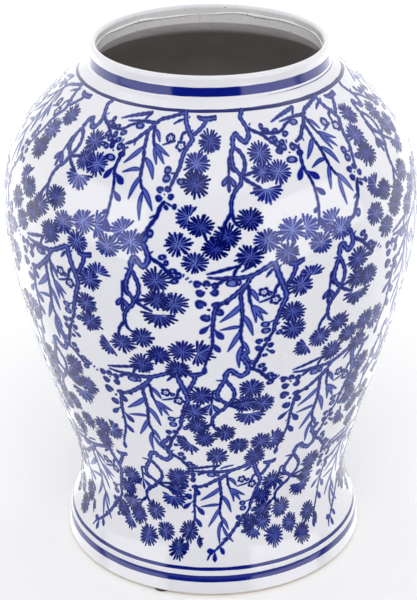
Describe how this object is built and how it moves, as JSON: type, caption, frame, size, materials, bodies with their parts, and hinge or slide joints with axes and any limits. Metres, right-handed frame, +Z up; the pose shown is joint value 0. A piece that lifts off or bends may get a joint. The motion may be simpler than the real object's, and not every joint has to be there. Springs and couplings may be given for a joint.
{
  "type": "ginger jar",
  "caption": "Open baluster-shaped porcelain storage jar with a short neck, rolled lip and turned foot on stick-on pads, painted in blue under a clear glaze.",
  "frame": {"origin": "on the jar's axis, in the plane that its pads stand on", "axes": "+Z up along the jar's axis; -Y towards the viewer, with the first pad to the viewer's left"},
  "size_m": [0.267, 0.267, 0.35],
  "materials": {
    "white_glaze": "gloss",
    "cobalt_blue": "gloss",
    "bare_clay": "matte",
    "pad_rubber": "matte"
  },
  "bodies": {
    "root": {"lip_ring": "white_glaze", "neck_collar": "white_glaze", "upper_body": "white_glaze", "lower_body": "white_glaze", "floor_slab": "bare_clay", "foot_ring": "white_glaze", "foot_pad_1": "pad_rubber", "foot_pad_2": "pad_rubber", "foot_pad_3": "pad_rubber"}
  },
  "joints": []
}
